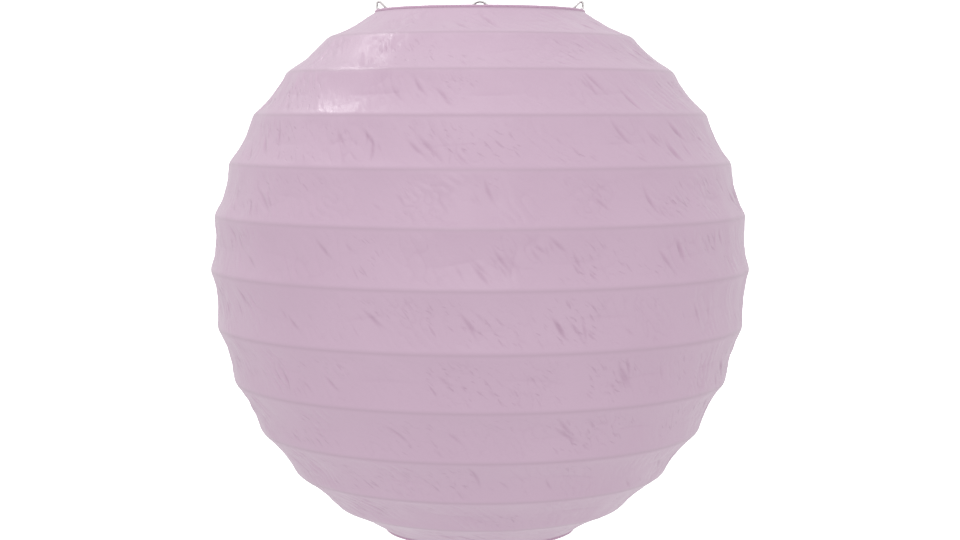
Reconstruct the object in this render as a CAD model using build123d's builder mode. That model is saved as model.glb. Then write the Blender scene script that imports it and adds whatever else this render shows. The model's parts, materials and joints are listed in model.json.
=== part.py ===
from build123d import *

import os
from math import asin, cos, pi, sin, sqrt

# A round paper lantern. Thin wire rings carry bands of paper, and a bent wire expander inside
# holds the two rims apart and ends in the eye that the lantern hangs from.
# Lengths are millimetres, +Z is up and X lies in the plane of the expander.
# The origin is the centre of the hanging eye.

# Shade
SHADE_DIAMETER = 400.0  # widest ring, measured over the paper
SHADE_HEIGHT = 386.0  # from the top rim's plane to the bottom rim's plane
WIDEST_DROP = 186.0  # from the top rim's plane down to where the shade is widest
TOP_RIM_DIAMETER = 156.0  # measured over the hem
BOTTOM_RIM_DIAMETER = 144.0  # measured over the hem
RIB_COUNT = 11  # rings between the two rims

# Paper
PAPER_THICKNESS = 0.3
BAND_SAG = 3.0  # how far a band hollows between its two rings
BAND_GAP = 0.2  # from a band's edge to the crest of its ring
RIB_CLEARANCE = 0.2  # between a rib and the paper over it
HEM_CLEARANCE = 0.05  # between a rim's wire and the paper folded round it
HEM_SLIT = 0.8  # open side of the folded hem, which faces the axis

# Wires
RIM_WIRE_DIAMETER = 2.0
RIB_WIRE_DIAMETER = 1.2
EXPANDER_WIRE_DIAMETER = 2.0

# Expander
EYE_INNER_DIAMETER = 10.0
EYE_RISE = 1.8  # from the top rim's plane up to the eye's centre
EYE_GAP = 0.15  # between the eye's turn and the wire that it crosses
CATCH_CLEARANCE = 0.1  # between a catch and the hem that it holds
LEG_CLEARANCE = 0.5  # between a leg and the bottom rim that folds up past it
HOOK_RISE = 8.3  # from the top rim's plane to the outer tip of a hook
HOOK_LEAN = 0.8  # how far a hook's outer side leans in from its foot
BOTTOM_WING = 2.6  # free end of a bottom catch, measured along X from its throat
BEND_RADIUS = 1.5  # tight bends, measured on the wire's centre line
LEG_BEND_RADIUS = 6.0  # wide bends into the arms and legs
CATCH_LENGTH = 22.0  # sprung end of a leg, from the bottom rim's plane up
LEG_TOP_DROP = 18.0  # from the top rim's plane down to the start of a leg

# Sizes that follow
RING_COUNT = RIB_COUNT + 2
TOP_ANGLE = asin(TOP_RIM_DIAMETER / SHADE_DIAMETER)
BOTTOM_ANGLE = pi - asin(BOTTOM_RIM_DIAMETER / SHADE_DIAMETER)
TOP_POLE_RADIUS = WIDEST_DROP / cos(TOP_ANGLE)
BOTTOM_POLE_RADIUS = (SHADE_HEIGHT - WIDEST_DROP) / -cos(BOTTOM_ANGLE)
TOP_RIM_Z = -EYE_RISE
BOTTOM_RIM_Z = TOP_RIM_Z - SHADE_HEIGHT
HEM_INNER_RADIUS = RIM_WIRE_DIAMETER / 2 + HEM_CLEARANCE
HEM_RADIUS = HEM_INNER_RADIUS + PAPER_THICKNESS
WIRE_RADIUS = EXPANDER_WIRE_DIAMETER / 2
EYE_RADIUS = (EYE_INNER_DIAMETER + EXPANDER_WIRE_DIAMETER) / 2
CROSSING = EXPANDER_WIRE_DIAMETER + EYE_GAP
ARM_Z = -EYE_RADIUS
SMALLER_RIM_DIAMETER = min(TOP_RIM_DIAMETER, BOTTOM_RIM_DIAMETER)
LEG_X = SMALLER_RIM_DIAMETER / 2 - 2 * HEM_RADIUS - LEG_CLEARANCE - WIRE_RADIUS


def crest(ring):
    """Return (radius, z) of the paper's crest over a ring, counted from the top rim down."""
    angle = TOP_ANGLE + (BOTTOM_ANGLE - TOP_ANGLE) * ring / (RING_COUNT - 1)
    pole_radius = TOP_POLE_RADIUS if angle < pi / 2 else BOTTOM_POLE_RADIUS
    return Vector(SHADE_DIAMETER / 2 * sin(angle), TOP_RIM_Z - WIDEST_DROP + pole_radius * cos(angle))


def outward(start, end):
    """Return the unit vector that points out of the shade, square to a line down its side."""
    along = (end - start).normalized()
    return Vector(-along.Y, along.X)


def rim_centre(ring):
    """Return (radius, z) of a rim wire's centre, inside its hem."""
    return crest(ring) - Vector(HEM_RADIUS, 0)


def rib_centre(ring):
    """Return (radius, z) of a rib's centre, just inside the paper's crest."""
    inward = outward(crest(ring - 1), crest(ring + 1)) * -1
    return crest(ring) + inward * (PAPER_THICKNESS + RIB_CLEARANCE + RIB_WIRE_DIAMETER / 2)


def band_ends(band):
    """Return the two ends of a band's outer face, from the ring above it to the ring below."""
    upper = crest(band - 1)
    lower = crest(band)
    if band == 1:
        upper = rim_centre(0) + outward(upper, lower) * HEM_RADIUS
    if band == RING_COUNT - 1:
        lower = rim_centre(band) + outward(upper, lower) * HEM_RADIUS
    along = (lower - upper).normalized()
    upper_gap = HEM_RADIUS if band == 1 else BAND_GAP
    lower_gap = HEM_RADIUS if band == RING_COUNT - 1 else BAND_GAP
    return upper + along * upper_gap, lower - along * lower_gap


os.makedirs("parts", exist_ok=True)

# Rims: the two open rings that the hems are folded over
for name, ring in (("top_rim", 0), ("bottom_rim", RING_COUNT - 1)):
    with BuildPart() as rim:
        with BuildSketch(Plane.XZ):
            with Locations(rim_centre(ring)):
                Circle(RIM_WIRE_DIAMETER / 2)
        revolve(axis=Axis.Z)
    rim.part.label = name
    export_step(rim.part, f"parts/{name}.step")

# Hems: the paper's edge folded round each rim wire, open towards the axis
for name, ring in (("top_hem", 0), ("bottom_hem", RING_COUNT - 1)):
    with BuildPart() as hem:
        with BuildSketch(Plane.XZ):
            with Locations(rim_centre(ring)):
                Circle(HEM_RADIUS)
                Circle(HEM_INNER_RADIUS, mode=Mode.SUBTRACT)
                slit_align = (Align.MAX, Align.CENTER)
                Rectangle(2 * HEM_RADIUS, HEM_SLIT, align=slit_align, mode=Mode.SUBTRACT)
        revolve(axis=Axis.Z)
    hem.part.label = name
    export_step(hem.part, f"parts/{name}.step")

# Ribs: the closed rings that give the shade its round shape
for ring in range(1, RING_COUNT - 1):
    with BuildPart() as rib:
        with BuildSketch(Plane.XZ):
            with Locations(rib_centre(ring)):
                Circle(RIB_WIRE_DIAMETER / 2)
        revolve(axis=Axis.Z)
    rib.part.label = f"rib_{ring:02d}"
    export_step(rib.part, f"parts/{rib.part.label}.step")

# Paper bands: each one hollows a little between the ring above it and the ring below
for band in range(1, RING_COUNT):
    upper, lower = band_ends(band)
    inward = outward(upper, lower) * -1
    middle = (upper + lower) * 0.5 + inward * BAND_SAG
    wall = inward * PAPER_THICKNESS
    with BuildPart() as paper:
        with BuildSketch(Plane.XZ):
            with BuildLine():
                ThreePointArc(upper, middle, lower)
                Line(lower, lower + wall)
                ThreePointArc(lower + wall, middle + wall, upper + wall)
                Line(upper + wall, upper)
            make_face()
        revolve(axis=Axis.Z)
    paper.part.label = f"paper_band_{band:02d}"
    export_step(paper.part, f"parts/{paper.part.label}.step")

# Expander: one wire bent in a plane. Each side runs from the eye along an arm, over a hook,
# round the top rim's inner side in a V-shaped catch, and down a leg to a second catch, which
# holds the bottom rim down and ends just under it.
CATCH_DEPTH = sqrt(2) * (HEM_RADIUS + WIRE_RADIUS + CATCH_CLEARANCE)
HOOK_CORNER_RISE = HOOK_RISE - WIRE_RADIUS - BEND_RADIUS + BEND_RADIUS * (1 + sqrt(2))


def catch_corners(centre):
    """Return a catch's corners round a rim wire's centre: top of the V, its throat and its foot."""
    rise = Vector(0, CATCH_DEPTH)
    return centre + rise, centre - Vector(CATCH_DEPTH, 0), centre - rise


def arm_route():
    """Return the corners and bend radii of an arm, from the eye to the top of its leg."""
    centre = rim_centre(0)
    top, throat, foot = catch_corners(centre)
    tip = centre + Vector(-HOOK_LEAN, HOOK_CORNER_RISE)
    foot_of_slope = tip - Vector(1, 1) * (tip.Y - ARM_Z)
    knee = foot - Vector(1, 1) * (foot.X - LEG_X)
    end = Vector(LEG_X, TOP_RIM_Z - LEG_TOP_DROP)
    corners = [Vector(0, ARM_Z), foot_of_slope, tip, top, throat, foot, knee, end]
    bends = [LEG_BEND_RADIUS] + [BEND_RADIUS] * 4 + [LEG_BEND_RADIUS / 2]
    return corners, bends


def catch_route():
    """Return the corners and bend radii of a leg's sprung end, down to its free wing."""
    top, throat, _ = catch_corners(rim_centre(RING_COUNT - 1))
    start = Vector(LEG_X, BOTTOM_RIM_Z + CATCH_LENGTH)
    shoulder = top + Vector(-1, 1) * (top.X - LEG_X)
    wing = throat + Vector(1, -1) * BOTTOM_WING
    return [start, shoulder, top, throat, wing], [BEND_RADIUS] * 3


for side, sign in (("left", -1), ("right", 1)):
    side_plane = Plane.XZ.offset(-sign * CROSSING / 2)
    arm_corners, arm_bends = arm_route()
    catch_points, catch_bends = catch_route()

    with BuildPart() as arm:
        with BuildLine(side_plane) as arm_line:
            FilletPolyline([(sign * p.X, p.Y) for p in arm_corners], radius=arm_bends)
        with BuildSketch(Plane(origin=arm_line.line @ 0, z_dir=arm_line.line % 0)):
            Circle(WIRE_RADIUS)
        sweep()
    arm.part.label = f"expander_{side}_arm"
    export_step(arm.part, f"parts/{arm.part.label}.step")

    with BuildPart() as leg:
        with BuildLine(side_plane) as leg_line:
            Line((sign * LEG_X, arm_corners[-1].Y), (sign * LEG_X, catch_points[0].Y))
        with BuildSketch(Plane(origin=leg_line.line @ 0, z_dir=leg_line.line % 0)):
            Circle(WIRE_RADIUS)
        sweep()
    leg.part.label = f"expander_{side}_leg"
    export_step(leg.part, f"parts/{leg.part.label}.step")

    with BuildPart() as catch:
        with BuildLine(side_plane) as catch_line:
            FilletPolyline([(sign * p.X, p.Y) for p in catch_points], radius=catch_bends)
        with BuildSketch(Plane(origin=catch_line.line @ 0, z_dir=catch_line.line % 0)):
            Circle(WIRE_RADIUS)
        sweep()
    catch.part.label = f"expander_{side}_catch"
    export_step(catch.part, f"parts/{catch.part.label}.step")

# The eye is one full turn of the wire, from the right arm's end round to the left arm's end
with BuildPart() as eye:
    with BuildLine() as eye_line:
        eye_start = (0, CROSSING / 2, 0)
        Helix(CROSSING, CROSSING, EYE_RADIUS, eye_start, direction=(0, -1, 0), lefthand=True)
    with BuildSketch(Plane(origin=eye_line.line @ 0, z_dir=eye_line.line % 0)):
        Circle(WIRE_RADIUS)
    sweep(is_frenet=True)
eye.part.label = "expander_eye"
export_step(eye.part, "parts/expander_eye.step")
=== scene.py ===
"""Looks of a round paper lantern: crumpled tissue over wire rings, folded hems and a wire expander.

Every size is in metres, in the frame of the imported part: +Z up, the hanging eye at the origin and
the expander in the XZ plane. Angles round the shade start at the front (-Y) and grow to the right.
"""

from __future__ import annotations

import json
import logging
import math
from dataclasses import dataclass
from enum import Enum

import bpy
import numpy as np
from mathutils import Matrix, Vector

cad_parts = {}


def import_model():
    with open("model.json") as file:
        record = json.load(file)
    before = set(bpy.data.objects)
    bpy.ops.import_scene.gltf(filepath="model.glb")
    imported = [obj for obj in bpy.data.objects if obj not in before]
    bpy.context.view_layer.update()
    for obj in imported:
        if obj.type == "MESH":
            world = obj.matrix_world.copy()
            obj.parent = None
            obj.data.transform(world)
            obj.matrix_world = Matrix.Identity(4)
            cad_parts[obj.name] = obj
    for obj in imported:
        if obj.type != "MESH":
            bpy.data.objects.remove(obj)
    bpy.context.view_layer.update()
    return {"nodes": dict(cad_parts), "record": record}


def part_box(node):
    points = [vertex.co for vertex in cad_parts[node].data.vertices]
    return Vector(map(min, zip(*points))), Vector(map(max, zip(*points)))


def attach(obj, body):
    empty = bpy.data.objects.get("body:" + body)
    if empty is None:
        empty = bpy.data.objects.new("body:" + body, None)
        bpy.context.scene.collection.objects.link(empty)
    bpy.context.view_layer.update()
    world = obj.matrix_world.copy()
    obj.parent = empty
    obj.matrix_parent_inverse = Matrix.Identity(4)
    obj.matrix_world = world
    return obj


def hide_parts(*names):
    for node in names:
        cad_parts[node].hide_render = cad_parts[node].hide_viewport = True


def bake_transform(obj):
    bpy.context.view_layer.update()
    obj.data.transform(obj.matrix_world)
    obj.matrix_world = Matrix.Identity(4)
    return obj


log = logging.getLogger("lantern")

MESH_PITCH = 0.00104
TOP_HEM_SEED = 31
BOTTOM_HEM_SEED = 32
FIRST_BAND_SEED = 100


class Channel(Enum):
    """Point values that the paper's mesh carries for its material."""

    # painted shade in the folds and creases of the tissue
    CREASE = "crease"
    # painted shadow of the ring wire, seen through the tissue
    PASTE = "paste"
    SLACK = "slack"


class Rim(Enum):
    """The shade's two open ends, by the node of their wire."""

    TOP = "top_rim"
    BOTTOM = "bottom_rim"


# --------------------------------------------------------------------------- finishes


class NodeBench:
    """Small helper that adds and links shader nodes in one material."""

    def __init__(self, name: str) -> None:
        """Start a material.

        Args:
            name: the material's name.
        """
        self.material = bpy.data.materials.new(name)
        self.material.use_nodes = True
        self.tree = self.material.node_tree
        self.shader = self.tree.nodes["Principled BSDF"]

    def add(self, kind: str, **values: object) -> bpy.types.Node:
        """Add a node.

        Args:
            kind: the node's type name without its ShaderNode prefix.
            values: properties of the node by name.

        Returns:
            The new node.
        """
        node = self.tree.nodes.new(f"ShaderNode{kind}")
        for name, value in values.items():
            setattr(node, name, value)
        return node

    def link(self, source: bpy.types.NodeSocket, target: bpy.types.NodeSocket) -> None:
        """Link one socket to another."""
        self.tree.links.new(source, target)

    def noise(
        self, coordinates: bpy.types.NodeSocket, scale: float, detail: float, rough: float = 0.5
    ) -> bpy.types.NodeSocket:
        """Add a noise texture.

        Args:
            coordinates: where the texture reads its place.
            scale: noise cells in a metre.
            detail: octaves.
            rough: share that each finer octave keeps.

        Returns:
            The grey output, around 0.5.
        """
        node = self.add("TexNoise")
        node.inputs["Scale"].default_value = scale
        node.inputs["Detail"].default_value = detail
        node.inputs["Roughness"].default_value = rough
        self.link(coordinates, node.inputs["Vector"])
        return node.outputs["Fac"]

    def ranged(
        self, source: bpy.types.NodeSocket, low: float, high: float, start: float, end: float
    ) -> bpy.types.NodeSocket:
        """Map a value from low..high to start..end.

        Args:
            source: the value to map.
            low: value that becomes start.
            high: value that becomes end.
            start: result at low.
            end: result at high.

        Returns:
            The mapped value, kept between start and end.
        """
        node = self.add("MapRange")
        for name, value in (
            ("From Min", low),
            ("From Max", high),
            ("To Min", start),
            ("To Max", end),
        ):
            node.inputs[name].default_value = value
        self.link(source, node.inputs["Value"])
        return node.outputs["Result"]

    def mixed(
        self,
        share: bpy.types.NodeSocket,
        first: bpy.types.NodeSocket | tuple[float, float, float],
        second: tuple[float, float, float],
    ) -> bpy.types.NodeSocket:
        """Mix two colours.

        Args:
            share: how much of the second colour shows.
            first: a colour, or the socket that gives it.
            second: the other colour.

        Returns:
            The mixed colour.
        """
        node = self.add("Mix", data_type="RGBA")
        self.link(share, node.inputs["Factor"])
        if isinstance(first, tuple):
            node.inputs[6].default_value = (*first, 1.0)
        else:
            self.link(first, node.inputs[6])
        node.inputs[7].default_value = (*second, 1.0)
        return node.outputs[2]

    def combined(
        self, kind: str, first: bpy.types.NodeSocket, second: bpy.types.NodeSocket | float
    ) -> bpy.types.NodeSocket:
        """Combine two values.

        Args:
            kind: the sum to do, such as MULTIPLY or ADD.
            first: a value.
            second: the other value, or a number.

        Returns:
            The result.
        """
        node = self.add("Math", operation=kind)
        self.link(first, node.inputs[0])
        if isinstance(second, float):
            node.inputs[1].default_value = second
        else:
            self.link(second, node.inputs[1])
        return node.outputs["Value"]

    def attribute(self, channel: Channel) -> bpy.types.NodeSocket:
        """Read one of the mesh's point values."""
        return self.add("Attribute", attribute_name=channel.value).outputs["Fac"]

    def bumped(
        self,
        height: bpy.types.NodeSocket,
        strength: float,
        distance: float,
        under: bpy.types.NodeSocket | None = None,
    ) -> bpy.types.NodeSocket:
        """Add a bump.

        Args:
            height: the height to follow.
            strength: how much of the bump shows.
            distance: the height's depth in metres.
            under: the normal of the bump beneath, if there is one.

        Returns:
            The bumped normal.
        """
        node = self.add("Bump")
        node.inputs["Strength"].default_value = strength
        node.inputs["Distance"].default_value = distance
        self.link(height, node.inputs["Height"])
        if under is not None:
            self.link(under, node.inputs["Normal"])
        return node.outputs["Normal"]

    def stretched(
        self, coordinates: bpy.types.NodeSocket, turn: float, scale: tuple[float, float, float]
    ) -> bpy.types.NodeSocket:
        """Turn and stretch flat coordinates.

        Args:
            coordinates: the coordinates to change.
            turn: rotation in the sheet's plane, in degrees.
            scale: factor along each turned axis.

        Returns:
            The changed coordinates.
        """
        node = self.add("Mapping", vector_type="TEXTURE")
        node.inputs["Rotation"].default_value = (0.0, 0.0, math.radians(turn))
        node.inputs["Scale"].default_value = scale
        self.link(coordinates, node.inputs["Vector"])
        return node.outputs["Vector"]


@dataclass(frozen=True)
class TissueFinish:
    """Thin dyed tissue paper with a faint glaze."""

    name: str
    base: tuple[float, float, float]
    # darker tone for the random clouding and grain, and the colour of the painted shade in folds
    crease: tuple[float, float, float]
    # colour of the painted shadow of a ring wire, seen through the tissue
    paste: tuple[float, float, float]
    roughness: float
    gloss: float = 0.5
    sheen: float = 0.1
    clouding: float = 0.16
    # how strongly the thin fold strokes darken the colour, as painted shade
    stroke_shade: float = 0.55
    stroke_depth: float = 0.00030
    fibre_depth: float = 0.00005
    crinkle_depth: float = 0.0005

    def make(self) -> bpy.types.Material:
        """Build the material.

        Returns:
            The tissue's material.
        """
        bench = NodeBench(self.name)
        place = bench.add("TexCoord").outputs["Object"]
        sheet = bench.add("UVMap", uv_map="sheet").outputs["UV"]
        strokes = self.strokes(bench, place, sheet)
        self.colour(bench, place, sheet, strokes)
        self.relief(bench, sheet, strokes)
        bench.shader.inputs["Specular IOR Level"].default_value = self.gloss
        bench.shader.inputs["Sheen Weight"].default_value = self.sheen
        bench.shader.inputs["Sheen Roughness"].default_value = 0.5
        return bench.material

    def strokes(
        self, bench: NodeBench, place: bpy.types.NodeSocket, sheet: bpy.types.NodeSocket
    ) -> bpy.types.NodeSocket:
        """Draw thin leaning fold marks, in patches and away from the rings, as painted shade and
        relief.

        Args:
            bench: the material's nodes.
            place: object coordinates.
            sheet: coordinates along the sheet.

        Returns:
            How strongly a mark shows, from 0 to 1.
        """
        patches = bench.ranged(bench.noise(place, 20.0, 1.0), 0.46, 0.60, 0.0, 1.0)
        patches = bench.combined("MULTIPLY", patches, bench.attribute(Channel.SLACK))
        total = None
        for turn, scale, stretch, least in (
            (-56.0, 330.0, 5.5, 0.655),
            (-43.0, 430.0, 5.0, 0.665),
            (-28.0, 520.0, 4.5, 0.680),
        ):
            leaning = bench.stretched(sheet, turn, (stretch, 1.0, 1.0))
            mark = bench.ranged(bench.noise(leaning, scale, 0.6), least, least + 0.08, 0.0, 1.0)
            total = mark if total is None else bench.combined("MAXIMUM", total, mark)
        return bench.combined("MULTIPLY", total, patches)

    def colour(
        self,
        bench: NodeBench,
        place: bpy.types.NodeSocket,
        sheet: bpy.types.NodeSocket,
        strokes: bpy.types.NodeSocket,
    ) -> None:
        """Colour the paper: cloudy base, painted shade in folds, a painted wire shadow at each
        ring.

        Args:
            bench: the material's nodes.
            place: object coordinates.
            sheet: coordinates along the sheet.
            strokes: the thin fold marks.
        """
        clouds = bench.ranged(bench.noise(place, 12.0, 3.0), 0.3, 0.7, 0.0, self.clouding)
        colour = bench.mixed(clouds, self.base, self.crease)
        grain = bench.noise(bench.stretched(sheet, 8.0, (3.0, 1.0, 1.0)), 900.0, 4.0, 0.65)
        colour = bench.mixed(bench.ranged(grain, 0.35, 0.75, 0.0, 0.10), colour, self.crease)
        # painted shade: the fold strokes and the mesh's fold marks darken the colour towards the
        # crease tone
        folds = bench.combined("MULTIPLY", strokes, self.stroke_shade)
        folds = bench.combined("MAXIMUM", folds, bench.attribute(Channel.CREASE))
        colour = bench.mixed(folds, colour, self.crease)
        # painted shadow of the ring wire along each ring
        colour = bench.mixed(bench.attribute(Channel.PASTE), colour, self.paste)
        bench.link(colour, bench.shader.inputs["Base Color"])
        rough = bench.ranged(
            bench.noise(place, 45.0, 4.0), 0.3, 0.7, self.roughness - 0.05, self.roughness + 0.07
        )
        bench.link(rough, bench.shader.inputs["Roughness"])

    def relief(
        self, bench: NodeBench, sheet: bpy.types.NodeSocket, strokes: bpy.types.NodeSocket
    ) -> None:
        """Raise the paper's fibres and crinkles, and sink the thin folds.

        Args:
            bench: the material's nodes.
            sheet: coordinates along the sheet.
            strokes: the thin fold marks.
        """
        crinkle = bench.noise(bench.stretched(sheet, -52.0, (2.6, 1.0, 1.0)), 240.0, 3.0, 0.55)
        normal = bench.bumped(crinkle, 0.5, self.crinkle_depth)
        normal = bench.bumped(strokes, 0.6, -self.stroke_depth, normal)
        fibres = bench.noise(bench.stretched(sheet, 12.0, (4.0, 1.0, 1.0)), 1500.0, 3.0, 0.6)
        normal = bench.bumped(fibres, 0.45, self.fibre_depth, normal)
        bench.link(normal, bench.shader.inputs["Normal"])


@dataclass(frozen=True)
class WireFinish:
    """Drawn steel wire with a thin zinc coat."""

    name: str
    bright: tuple[float, float, float]
    dull: tuple[float, float, float]
    roughness: float
    metallic: float = 1.0

    def make(self) -> bpy.types.Material:
        """Build the material.

        Returns:
            The wire's material.
        """
        bench = NodeBench(self.name)
        place = bench.add("TexCoord").outputs["Object"]
        spangle = bench.noise(place, 420.0, 4.0, 0.6)
        colour = bench.mixed(bench.ranged(spangle, 0.35, 0.7, 0.0, 1.0), self.bright, self.dull)
        bench.link(colour, bench.shader.inputs["Base Color"])
        worn = bench.ranged(
            bench.noise(place, 130.0, 5.0), 0.3, 0.7, self.roughness - 0.08, self.roughness + 0.12
        )
        bench.link(worn, bench.shader.inputs["Roughness"])
        scratches = bench.noise(place, 2600.0, 2.0)
        bench.link(bench.bumped(scratches, 0.25, 0.00001), bench.shader.inputs["Normal"])
        bench.shader.inputs["Metallic"].default_value = self.metallic
        return bench.material


@dataclass(frozen=True)
class StudioFinish:
    """Matte white that glows just enough to stay white."""

    name: str
    white: tuple[float, float, float] = (0.92, 0.92, 0.92)
    glow: float = 1.0

    def make(self) -> bpy.types.Material:
        """Build the material.

        Returns:
            The studio's material.
        """
        bench = NodeBench(self.name)
        bench.shader.inputs["Base Color"].default_value = (*self.white, 1.0)
        bench.shader.inputs["Roughness"].default_value = 1.0
        bench.shader.inputs["Specular IOR Level"].default_value = 0.0
        bench.shader.inputs["Emission Color"].default_value = (1.0, 1.0, 1.0, 1.0)
        bench.shader.inputs["Emission Strength"].default_value = self.glow
        return bench.material


TISSUE = TissueFinish(
    name="rose_tissue",
    base=(0.66, 0.476, 0.607),
    crease=(0.53, 0.345, 0.475),
    # colour of the painted shadow of a ring wire
    paste=(0.575, 0.415, 0.525),
    roughness=0.34,
)
HEM_TISSUE = TissueFinish(
    name="hem_tissue",
    base=(0.64, 0.43, 0.575),
    crease=(0.54, 0.33, 0.47),
    paste=(0.55, 0.35, 0.485),
    roughness=0.5,
)
EXPANDER_WIRE = WireFinish("zinc_wire", (0.92, 0.90, 0.89), (0.78, 0.76, 0.75), 0.36)
RIM_WIRE = WireFinish("rim_wire", (0.50, 0.49, 0.48), (0.32, 0.31, 0.31), 0.42)
RIB_WIRE = WireFinish("rib_wire", (0.48, 0.43, 0.46), (0.33, 0.29, 0.31), 0.48, 0.85)


# --------------------------------------------------------------------------- paper patterns


@dataclass(frozen=True)
class Span:
    """The flat outline of one band, before it hollows and crumples."""

    radius: float
    length: float


class Ripples:
    """A random pattern of leaning waves that closes round a ring."""

    def __init__(
        self,
        rng: np.random.Generator,
        span: Span,
        wavelength: float,
        lean: float,
        spread: float,
        count: int = 14,
    ) -> None:
        """Choose the waves.

        Args:
            rng: source of the choices.
            span: the band that the pattern covers.
            wavelength: the usual distance from crest to crest.
            lean: direction that the crests run in, in degrees below the rightward level.
            spread: how far single waves stray from that direction, in degrees.
            count: number of waves.
        """
        lengths = wavelength * rng.uniform(0.65, 1.5, count)
        across = np.radians(lean - 90.0 + rng.normal(0.0, spread, count))
        self.turns = np.round(span.radius * 2 * np.pi / lengths * np.cos(across))
        self.drops = 2 * np.pi / lengths * np.sin(across)
        self.shifts = rng.uniform(0.0, 2 * np.pi, count)
        self.share = math.sqrt(2.0 / count)

    def at(self, angle: np.ndarray, down: np.ndarray) -> np.ndarray:
        """Read the pattern.

        Args:
            angle: angles round the shade.
            down: distances down the band, in metres.

        Returns:
            Values around 0, mostly within -2 and 2.
        """
        total = np.zeros(np.broadcast(angle, down).shape)
        for turns, drop, shift in zip(self.turns, self.drops, self.shifts):
            total += np.cos(turns * angle + drop * down + shift)
        return total * self.share


@dataclass(frozen=True)
class Crease:
    """One sharp, short fold that was pressed into the tissue."""

    angle: float
    down: float
    lean: float
    half_length: float
    width: float
    depth: float
    curl: float

    def press(
        self, angles: np.ndarray, downs: np.ndarray, radius: float
    ) -> tuple[np.ndarray, np.ndarray]:
        """Work out what the crease does to the sheet near it.

        Args:
            angles: angles round the shade, one for each column.
            downs: distances down the band, one for each row.
            radius: the band's mean radius.

        Returns:
            The height that it adds and how strongly painted shade darkens its valley, by row and
            column.
        """
        turn = (angles - self.angle + np.pi) % (2 * np.pi) - np.pi
        right = (turn * radius)[None, :]
        below = (downs - self.down)[:, None]
        slope = math.radians(self.lean)
        along = right * math.cos(slope) + below * math.sin(slope)
        across = below * math.cos(slope) - right * math.sin(slope)
        across = across + self.curl * along * along / self.half_length
        fade = np.exp(-((along / self.half_length) ** 2) * 1.6)
        narrow = self.width * (0.55 + 0.45 * fade)
        valley = np.exp(-((across / narrow) ** 2))
        ridge = np.exp(-(((across + 1.9 * narrow) / (1.7 * narrow)) ** 2))
        return self.depth * fade * (0.55 * ridge - valley), fade * valley


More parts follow.
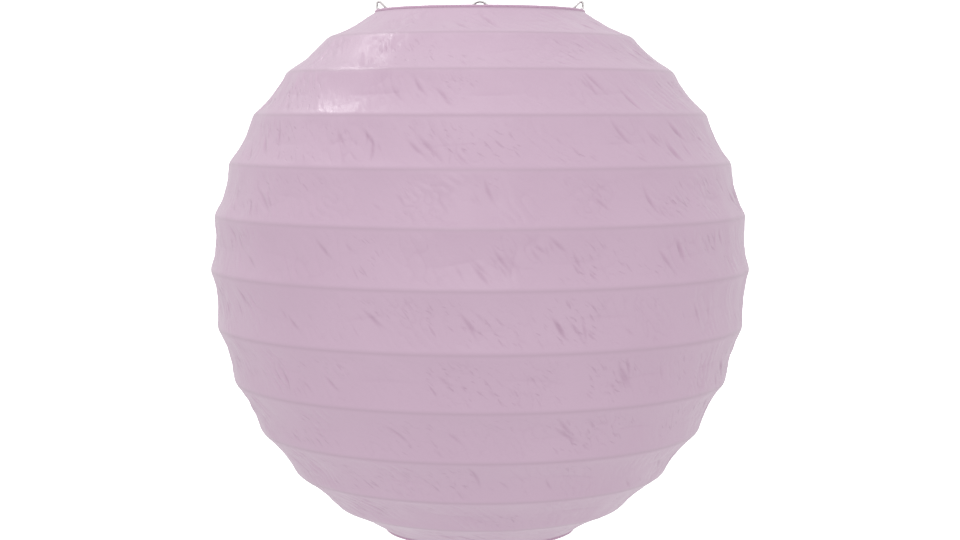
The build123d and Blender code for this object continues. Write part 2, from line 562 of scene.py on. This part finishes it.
class Crumple:
    """Everything that takes one band away from a plain hollow."""

    PUCKER = 0.00017
    NETWORK = 0.00030
    # these values darken the colour along the folds' valleys, as painted shade
    NETWORK_SHADE = 0.38
    NETWORK_SHADE_WIDTH = 0.16
    MID_FOLD = 0.00050
    MID_FOLD_WIDTH = 0.0022
    MID_FOLD_WANDER = 0.045
    MID_FOLD_SHADE = 0.25
    MID_FOLD_SHADE_WIDTH = 0.0009
    EDGE_FADE = 0.0075
    CLUSTER_SPACING = 0.052
    LEAST_DEPTH = 0.00020
    DEPTH_RANGE = 0.00055
    SHADE_SHARE = 0.62
    MOST_SHADE = 0.85

    def __init__(self, seed: int, span: Span) -> None:
        """Choose one band's puckers, fold network, middle fold and creases.

        Args:
            seed: number that makes the band's pattern its own.
            span: the band's outline.
        """
        self.span = span
        rng = np.random.default_rng(seed)
        self.slow = Ripples(rng, span, 0.16, 90.0, 20.0, 6)
        self.pucker = Ripples(rng, span, 0.030, 62.0, 24.0)
        self.network = Ripples(rng, span, 0.013, 56.0, 20.0, 18)
        self.patches = Ripples(rng, span, 0.055, 90.0, 40.0, 8)
        self.fold_path = Ripples(rng, span, 0.11, 90.0, 0.0, 6)
        self.fold_shows = Ripples(rng, span, 0.085, 90.0, 0.0, 6)
        self.creases = self.scatter(rng)

    def scatter(self, rng: np.random.Generator) -> list[Crease]:
        """Place the sharp creases in loose clusters along the band's middle.

        Args:
            rng: source of the choices.

        Returns:
            The creases.
        """
        creases = []
        around = 2 * math.pi * self.span.radius
        for _ in range(int(around / self.CLUSTER_SPACING)):
            middle = rng.uniform(0.0, 2 * np.pi)
            height = rng.uniform(0.34, 0.70)
            for _ in range(int(rng.integers(1, 5))):
                large = rng.random() ** 2.2
                creases.append(
                    Crease(
                        angle=middle + rng.normal(0.0, 0.011) / self.span.radius,
                        down=(height + rng.normal(0.0, 0.10)) * self.span.length,
                        lean=rng.normal(51.0, 12.0),
                        half_length=0.0035 + 0.0095 * large,
                        width=0.00075 + 0.0006 * large,
                        depth=self.LEAST_DEPTH + self.DEPTH_RANGE * large,
                        curl=rng.uniform(-0.16, 0.16),
                    )
                )
        return creases

    def relief(self, angles: np.ndarray, shares: np.ndarray) -> tuple[np.ndarray, np.ndarray]:
        """Work out the crumpled height of the whole band.

        Args:
            angles: angles round the shade, one for each column.
            shares: places down the band from 0 to 1, one for each row.

        Returns:
            The height in metres and the strength of the painted shade in its folds, by row and
            column.
        """
        downs = shares * self.span.length
        across, down = angles[None, :], downs[:, None]
        patch = np.clip(0.42 + 0.38 * self.patches.at(across, down), 0.0, 1.3)
        pucker = self.pucker.at(across, down)
        network = np.abs(self.network.at(across, down))
        height = self.PUCKER * pucker + self.NETWORK * patch * (network - 0.7)
        # painted shade along the valleys of the fold network
        marks = self.NETWORK_SHADE * patch * np.exp(-((network / self.NETWORK_SHADE_WIDTH) ** 2))
        wander = self.MID_FOLD_WANDER * self.fold_path.at(across, 0.0)
        fold_at = (0.5 + wander) * self.span.length
        shows = np.clip(0.15 + 0.55 * self.fold_shows.at(across, 0.0), 0.0, 1.0)
        off = np.abs(down - fold_at)
        height -= self.MID_FOLD * shows * np.exp(-off / self.MID_FOLD_WIDTH)
        # painted shade along the middle fold
        marks += self.MID_FOLD_SHADE * shows * np.exp(-((off / self.MID_FOLD_SHADE_WIDTH) ** 2))
        for crease in self.creases:
            added, mark = crease.press(angles, downs, self.span.radius)
            height += added
            # painted shade in each crease's valley
            marks += mark * min(crease.depth / self.DEPTH_RANGE, 1.0)
        edge = np.minimum(down, self.span.length - down) / self.EDGE_FADE
        fade = np.clip(edge, 0.0, 1.0)
        fade = fade * fade * (3 - 2 * fade)
        return height * fade, np.clip(self.SHADE_SHARE * marks * fade, 0.0, self.MOST_SHADE)


# --------------------------------------------------------------------------- paper pieces


@dataclass(frozen=True)
class RingLine:
    """One wire ring that carries paper, as the frame places it."""

    node: str
    body: str
    radius: float
    height: float
    wire: float

    @classmethod
    def read(cls, node: str, bodies: dict[str, list[str]]) -> RingLine:
        """Measure a ring in the frame.

        Args:
            node: the ring's CAD node.
            bodies: the nodes of each moving body.

        Returns:
            The ring.
        """
        low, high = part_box(node)
        wire = (high[2] - low[2]) / 2
        body = next(name for name, nodes in bodies.items() if node in nodes)
        return cls(node, body, (high[0] - low[0]) / 2 - wire, (high[2] + low[2]) / 2, wire)

    def point(self) -> np.ndarray:
        """Return the centre of the wire as (radius, height)."""
        return np.array([self.radius, self.height])


def outward(start: np.ndarray, end: np.ndarray) -> np.ndarray:
    """Return the unit normal, out of the shade, of a line down its side.

    Args:
        start: the line's upper end as (radius, height).
        end: its lower end.

    Returns:
        The normal as (radius, height).
    """
    along = (end - start) / np.linalg.norm(end - start)
    return np.array([-along[1], along[0]])


def wrap(section: np.ndarray, angles: np.ndarray) -> np.ndarray:
    """Turn points given by angle, radius and height into places in the frame.

    Args:
        section: (rows, columns, 2) array of radius and height.
        angles: the columns' angles round the shade.

    Returns:
        (rows, columns, 3) array of points.
    """
    radius, height = section[..., 0], section[..., 1]
    return np.stack([radius * np.sin(angles), -radius * np.cos(angles), height], axis=-1)


def ring_mesh(
    name: str,
    points: np.ndarray,
    sheet: np.ndarray,
    channels: dict[Channel, np.ndarray],
) -> bpy.types.Object:
    """Make a mesh from rows of points that close round the shade.

    Args:
        name: the piece's name.
        points: (rows, columns, 3) array of places, rows running down the outer face.
        sheet: (rows, columns + 1, 2) array of distances along and down the sheet.
        channels: values for the material, by row and column.

    Returns:
        The new piece, with its faces pointing out of the shade.
    """
    rows, columns = points.shape[:2]
    index = np.arange(rows * columns).reshape(rows, columns)
    right = np.roll(index, -1, axis=1)
    faces = np.stack([index[:-1], index[1:], right[1:], right[:-1]], axis=-1).reshape(-1, 4)
    mesh = bpy.data.meshes.new(name)
    mesh.from_pydata(points.reshape(-1, 3).tolist(), [], faces.tolist())
    corners = np.stack([sheet[:-1, :-1], sheet[1:, :-1], sheet[1:, 1:], sheet[:-1, 1:]], axis=2)
    layer = mesh.uv_layers.new(name="sheet")
    layer.data.foreach_set("uv", corners.reshape(-1).astype(np.float32))
    for channel, values in channels.items():
        attribute = mesh.attributes.new(channel.value, "FLOAT", "POINT")
        attribute.data.foreach_set("value", values.reshape(-1).astype(np.float32))
    piece = bpy.data.objects.new(name, mesh)
    bpy.context.collection.objects.link(piece)
    return piece


def thicken(piece: bpy.types.Object, thickness: float, angle: float) -> None:
    """Give a sheet its thickness, inwards, and smooth its faces.

    Args:
        piece: the sheet.
        thickness: the paper's thickness.
        angle: edges sharper than this many degrees stay sharp.
    """
    bpy.ops.object.select_all(action="DESELECT")
    bpy.context.view_layer.objects.active = piece
    piece.select_set(True)
    solid = piece.modifiers.new("thickness", "SOLIDIFY")
    solid.thickness = thickness
    solid.offset = -1.0
    bpy.ops.object.modifier_apply(modifier=solid.name)
    bpy.ops.object.shade_smooth_by_angle(angle=math.radians(angle))
    piece.select_set(False)


@dataclass
class TissueBand:
    """One band of tissue between two rings."""

    number: int
    upper: RingLine
    lower: RingLine
    starts_at_hem: bool
    ends_at_hem: bool
    hem_radius: float
    pitch: float
    crest_turn: float
    thickness: float = 0.00018
    over_wire: float = 0.00012
    least_sag: float = 0.0009
    most_sag: float = 0.0024
    round_over: float = 0.0034
    # width of the painted wire shadow along each ring
    rib_shadow_width: float = 0.0013
    tuck: float = 0.00012
    row_stretch: float = 1.2
    slow_share: float = 0.10
    slack_start: float = 0.003
    slack_run: float = 0.007
    smooth_angle: float = 50.0

    def ends(self) -> tuple[np.ndarray, np.ndarray]:
        """Return the band's two ends, against the sides of the hems, as (radius, height)."""
        start, end = self.upper.point(), self.lower.point()
        reach = (end - start) / np.linalg.norm(end - start) * (self.hem_radius - self.tuck)
        if self.starts_at_hem:
            start = start + reach
        if self.ends_at_hem:
            end = end - reach
        return start, end

    def build(
        self, crest: dict[str, np.ndarray], hems: list[bpy.types.Object], seed: int
    ) -> bpy.types.Object:
        """Make the band's crumpled sheet.

        Args:
            crest: where the paper turns over each rib, by the rib's node.
            hems: not used.
            seed: number that makes the pattern the band's own.

        Returns:
            The finished sheet.
        """
        start, end = self.ends()
        start = crest.get(self.upper.node, start)
        end = crest.get(self.lower.node, end)
        length = float(np.linalg.norm(end - start))
        normal = outward(start, end)
        span = Span(float((start[0] + end[0]) / 2), length)
        columns = int(round(2 * math.pi * max(start[0], end[0]) / self.pitch))
        rows = int(round(length / (self.row_stretch * self.pitch))) + 1
        angles = np.linspace(-math.pi, math.pi, columns, endpoint=False)
        shares = np.linspace(0.0, 1.0, rows)
        crumple = Crumple(seed, span)
        relief, marks = crumple.relief(angles, shares)
        steepness = abs(end[1] - start[1]) / length
        sag = self.least_sag + (self.most_sag - self.least_sag) * steepness**2
        hollow = self.profile(shares, length, sag)
        slow = 1 + self.slow_share * crumple.slow.at(angles[None, :], 0.0)
        height = relief + hollow[:, None] * slow
        section = start + (end - start) * shares[:, None, None] + height[..., None] * normal
        sheet = np.stack(
            np.broadcast_arrays(
                np.append(angles, math.pi)[None, :] * span.radius, -shares[:, None] * length
            ),
            axis=-1,
        )
        edge = np.minimum(shares, 1 - shares) * length
        # painted shadow of the ring wire near both ends of the band
        paste = np.exp(-((edge / self.rib_shadow_width) ** 2))
        slack = np.clip((edge - self.slack_start) / self.slack_run, 0.0, 1.0)
        channels = {
            # painted shade in the folds and creases
            Channel.CREASE: marks,
            Channel.PASTE: np.repeat(paste[:, None], columns, axis=1),
            Channel.SLACK: np.repeat(slack[:, None], columns, axis=1),
        }
        piece = ring_mesh(f"tissue_band_{self.number:02d}", wrap(section, angles), sheet, channels)
        thicken(piece, self.thickness, self.smooth_angle)
        self.declare(piece)
        return piece

    def profile(self, shares: np.ndarray, length: float, sag: float) -> np.ndarray:
        """Shape the band's hollow: it leaves each rib along the shade's round, then dips.

        Args:
            shares: places down the band from 0 to 1.
            length: the band's straight length.
            sag: how deep its middle lies.

        Returns:
            Heights over the straight line, mostly below 0.
        """
        steps = 800
        fine = np.linspace(0.0, 1.0, steps + 1)
        leave = np.ones_like(fine)
        if not self.starts_at_hem:
            leave = np.minimum(leave, fine * length / self.round_over)
        arrive = np.ones_like(fine)
        if not self.ends_at_hem:
            arrive = np.minimum(arrive, (1 - fine) * length / self.round_over)
        leave, arrive = (part * part * (3 - 2 * part) for part in (leave, arrive))
        turn = self.crest_turn * ((1 - leave) - (1 - arrive))
        dip = (8 * fine - 4) / length * leave * arrive
        rise, bowl = (
            np.concatenate([[0.0], np.cumsum((part[1:] + part[:-1]) / 2)]) * length / steps
            for part in (turn, dip)
        )
        rise, bowl = rise - fine * rise[-1], bowl - fine * bowl[-1]
        middle = steps // 2
        whole = rise - bowl * (sag + rise[middle]) / bowl[middle]
        return np.interp(shares, fine, whole)

    def declare(
        self,
        piece: bpy.types.Object,
    ) -> None:
        """Bake the band's place into its mesh and hide the CAD band that it stands for.

        Args:
            piece: the finished sheet.
        """
        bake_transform(piece)
        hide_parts(f"paper_band_{self.number:02d}")


@dataclass
class FoldedHem:
    """The tissue's edge, folded over a rim wire and pasted down."""

    rim: RingLine
    radius: float
    pitch: float
    thickness: float = 0.00022
    slit: float = 0.0008
    crimp: float = 0.00007
    crimp_limit: float = 1.4
    wave_share: float = 0.35
    fold_width: float = 0.22
    crimp_fold_shade: float = 0.8
    rows: int = 26
    smooth_angle: float = 60.0

    def build(self, name: str, replaced: str, seed: int) -> bpy.types.Object:
        """Make the hem.

        Args:
            name: the piece's name.
            replaced: the CAD node that it stands for.
            seed: number that makes its crimps its own.

        Returns:
            The finished hem.
        """
        rng = np.random.default_rng(seed)
        span = Span(self.rim.radius, 2 * math.pi * self.radius)
        columns = int(round(2 * math.pi * self.rim.radius / self.pitch))
        angles = np.linspace(-math.pi, math.pi, columns, endpoint=False)
        gap = math.asin(self.slit / 2 / self.radius)
        turn = np.linspace(math.pi - gap, -math.pi + gap, self.rows)
        down = (turn[0] - turn) * self.radius
        crimps = Ripples(rng, span, 0.0042, 78.0, 10.0, 12).at(angles[None, :], down[:, None])
        waves = Ripples(rng, span, 0.019, 90.0, 14.0, 8).at(angles[None, :], down[:, None])
        puffs = np.minimum(np.abs(crimps), self.crimp_limit) - self.crimp_limit
        relief = self.crimp * (puffs + self.wave_share * (waves - 1.0))
        radius = self.radius + relief
        section = np.stack(
            [
                self.rim.radius + radius * np.cos(turn)[:, None],
                self.rim.height + radius * np.sin(turn)[:, None],
            ],
            axis=-1,
        )
        sheet = np.stack(
            np.broadcast_arrays(
                np.append(angles, math.pi)[None, :] * self.rim.radius, -down[:, None]
            ),
            axis=-1,
        )
        # painted shade in the valleys between the crimps
        fold = np.exp(-((crimps / self.fold_width) ** 2))
        channels = {
            Channel.CREASE: self.crimp_fold_shade * fold,
            Channel.PASTE: np.zeros_like(fold),
            Channel.SLACK: np.zeros_like(fold),
        }
        piece = ring_mesh(name, wrap(section, angles), sheet, channels)
        thicken(piece, self.thickness, self.smooth_angle)
        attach(piece, self.rim.body)
        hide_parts(replaced)
        return piece


class Shade:
    """The paper skin: a band between each two rings and a hem at each end."""

    HEM_PITCH_SHARE = 0.7

    def __init__(self, bodies: dict[str, list[str]], pitch: float) -> None:
        """Read the rings from the frame.

        Args:
            bodies: the nodes of each moving body.
            pitch: distance between two points of the paper's mesh.
        """
        ribs = sorted(n for nodes in bodies.values() for n in nodes if n.startswith("rib_"))
        names = [Rim.TOP.value, *ribs, Rim.BOTTOM.value]
        self.rings = [RingLine.read(name, bodies) for name in names]
        self.pitch = pitch
        low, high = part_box("top_hem")
        self.hem_radius = (high[2] - low[2]) / 2

    def half_turn(self) -> float:
        """Return half the angle that the paper turns through at a rib, on average."""
        first, second = self.rings[0].point(), self.rings[1].point()
        third, fourth = self.rings[-2].point(), self.rings[-1].point()
        top, bottom = outward(first, second), outward(third, fourth)
        whole = math.acos(float(np.dot(top, bottom)))
        return whole / (len(self.rings) - 2) / 2

    def crests(self) -> dict[str, np.ndarray]:
        """Return where the paper turns over each rib, by node, as (radius, height)."""
        found = {}
        for before, ring, after in zip(self.rings, self.rings[1:], self.rings[2:]):
            rise = ring.wire + TissueBand.thickness + TissueBand.over_wire
            found[ring.node] = ring.point() + outward(before.point(), after.point()) * rise
        return found

    def build(self) -> list[bpy.types.Object]:
        """Make every band and both hems.

        Returns:
            The paper pieces.
        """
        crest = self.crests()
        tissue, hem_tissue = TISSUE.make(), HEM_TISSUE.make()
        hems = {}
        for ring, name, replaced, seed in (
            (self.rings[0], "folded_top_hem", "top_hem", TOP_HEM_SEED),
            (self.rings[-1], "folded_bottom_hem", "bottom_hem", BOTTOM_HEM_SEED),
        ):
            hem = FoldedHem(ring, self.hem_radius, self.HEM_PITCH_SHARE * self.pitch)
            hems[ring.node] = hem.build(name, replaced, seed)
            hems[ring.node].data.materials.append(hem_tissue)
        pieces = list(hems.values())
        last = len(self.rings) - 1
        for number in range(1, last + 1):
            upper, lower = self.rings[number - 1], self.rings[number]
            band = TissueBand(
                number=number,
                upper=upper,
                lower=lower,
                starts_at_hem=number == 1,
                ends_at_hem=number == last,
                hem_radius=self.hem_radius,
                pitch=self.pitch,
                crest_turn=self.half_turn(),
            )
            own = [hems[ring.node] for ring in (upper, lower) if ring.node in hems]
            piece = band.build(crest, own, seed=FIRST_BAND_SEED + number)
            piece.data.materials.append(tissue)
            pieces.append(piece)
        return pieces


# --------------------------------------------------------------------------- wires and studio


class Wires:
    """The steel pieces, whose shapes the frame already holds."""

    def __init__(self, nodes: dict[str, bpy.types.Object]) -> None:
        """Keep the frame's nodes.

        Args:
            nodes: the frame's objects by node name.
        """
        self.nodes = nodes

    def dress(self) -> None:
        """Give each wire its finish."""
        finishes = {
            "expander": EXPANDER_WIRE.make(),
            "rib": RIB_WIRE.make(),
            "top_rim": RIM_WIRE.make(),
            "bottom_rim": RIM_WIRE.make(),
        }
        for name, node in self.nodes.items():
            for start, material in finishes.items():
                if name.startswith(start):
                    self.paint(node, material)
                    log.info("wire %s", name)

    @staticmethod
    def paint(node: bpy.types.Object, material: bpy.types.Material) -> None:
        """Put one material in every slot of a node."""
        for slot in node.material_slots:
            slot.link = "OBJECT"
            slot.material = material


@dataclass
class SoftLight:
    """One large rectangular lamp."""

    name: str
    place: tuple[float, float, float]
    aim: Vector
    size: float
    power: float
    colour: tuple[float, float, float] = (1.0, 1.0, 1.0)

    def build(self) -> bpy.types.Object:
        """Hang the lamp and turn it to its aim.

        Returns:
            The lamp.
        """
        data = bpy.data.lights.new(self.name, "AREA")
        data.shape = "SQUARE"
        data.size = self.size
        data.energy = self.power
        data.color = self.colour
        lamp = bpy.data.objects.new(self.name, data)
        lamp.location = self.place
        towards = self.aim - Vector(self.place)
        lamp.rotation_euler = towards.to_track_quat("-Z", "Y").to_euler()
        bpy.context.collection.objects.link(lamp)
        return lamp


@dataclass
class Studio:
    """White room, soft lamps and the camera, placed from the shade's own size."""

    top: float
    middle: Vector
    radius: float
    floor_drop: float = 2.4
    room: float = 14.0
    ambient: float = 0.80
    focal_length: float = 69.83
    camera_distance: float = 7.0
    camera_drop: float = 0.3723
    camera_pitch: float = 4.843

    def build(self) -> None:
        """Build the whole studio."""
        self.paint_world()
        self.add_room()
        self.hang_lamps()
        self.place_camera()
        bpy.context.scene.view_settings.view_transform = "Standard"

    def paint_world(self) -> None:
        """Fill the surroundings with even white light."""
        world = bpy.data.worlds.new("studio_world")
        world.use_nodes = True
        background = world.node_tree.nodes["Background"]
        background.inputs["Color"].default_value = (1.0, 1.0, 1.0, 1.0)
        background.inputs["Strength"].default_value = self.ambient
        bpy.context.scene.world = world

    def add_room(self) -> None:
        """Lay the floor and set the white dome behind it, seen by the camera alone."""
        white = StudioFinish("studio_white").make()
        height = self.middle.z - self.radius - self.floor_drop
        bpy.ops.object.select_all(action="DESELECT")
        bpy.ops.mesh.primitive_circle_add(
            vertices=96, radius=self.room, fill_type="NGON", location=(0.0, 0.0, height)
        )
        floor = bpy.context.object
        floor.name = "studio_floor"
        bpy.ops.mesh.primitive_uv_sphere_add(
            segments=64, ring_count=32, radius=self.room, location=(0.0, 0.0, height)
        )
        dome = bpy.context.object
        dome.name = "studio_dome"
        bpy.ops.object.select_all(action="DESELECT")
        for part in (floor, dome):
            part.data.materials.append(white)
            part.visible_diffuse = False
            part.visible_glossy = False
            part.visible_transmission = False
            part.visible_shadow = False

    def hang_lamps(self) -> None:
        """Hang a soft key lamp in front, a top lamp, and a small lamp behind on the left."""
        for lamp in (
            SoftLight("key_lamp", (-0.25, -1.95, 0.9), self.middle, 1.4, 5.7),
            SoftLight("top_lamp", (-0.1, -0.1, 1.7), self.middle, 1.4, 2.8),
            SoftLight("back_lamp", (-0.85, 0.65, 1.2), self.middle, 0.3, 2.4),
        ):
            lamp.build()

    def place_camera(self) -> None:
        """Stand the camera in front of the shade, a little above its middle."""
        data = bpy.data.cameras.new("camera")
        data.lens = self.focal_length
        data.clip_end = 100.0
        camera = bpy.data.objects.new("camera", data)
        height = self.top - self.camera_drop * self.radius
        camera.location = (self.middle.x, -self.camera_distance * self.radius, height)
        camera.rotation_euler = (math.radians(90.0 - self.camera_pitch), 0.0, 0.0)
        bpy.context.collection.objects.link(camera)
        bpy.context.scene.camera = camera


def main() -> None:
    """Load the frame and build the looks."""
    logging.basicConfig(level=logging.INFO, format="%(message)s")
    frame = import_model()
    bodies = frame["record"]["behaviour"]["bodies"]
    shade = Shade(bodies, pitch=MESH_PITCH)
    for piece in shade.build():
        log.info("paper %s: %d faces", piece.name, len(piece.data.polygons))
    Wires(frame["nodes"]).dress()
    rims = [ring.height for ring in (shade.rings[0], shade.rings[-1])]
    middle = Vector((0.0, 0.0, sum(rims) / 2))
    Studio(rims[0], middle, max(ring.radius for ring in shade.rings)).build()


if __name__ == "__main__":
    main()
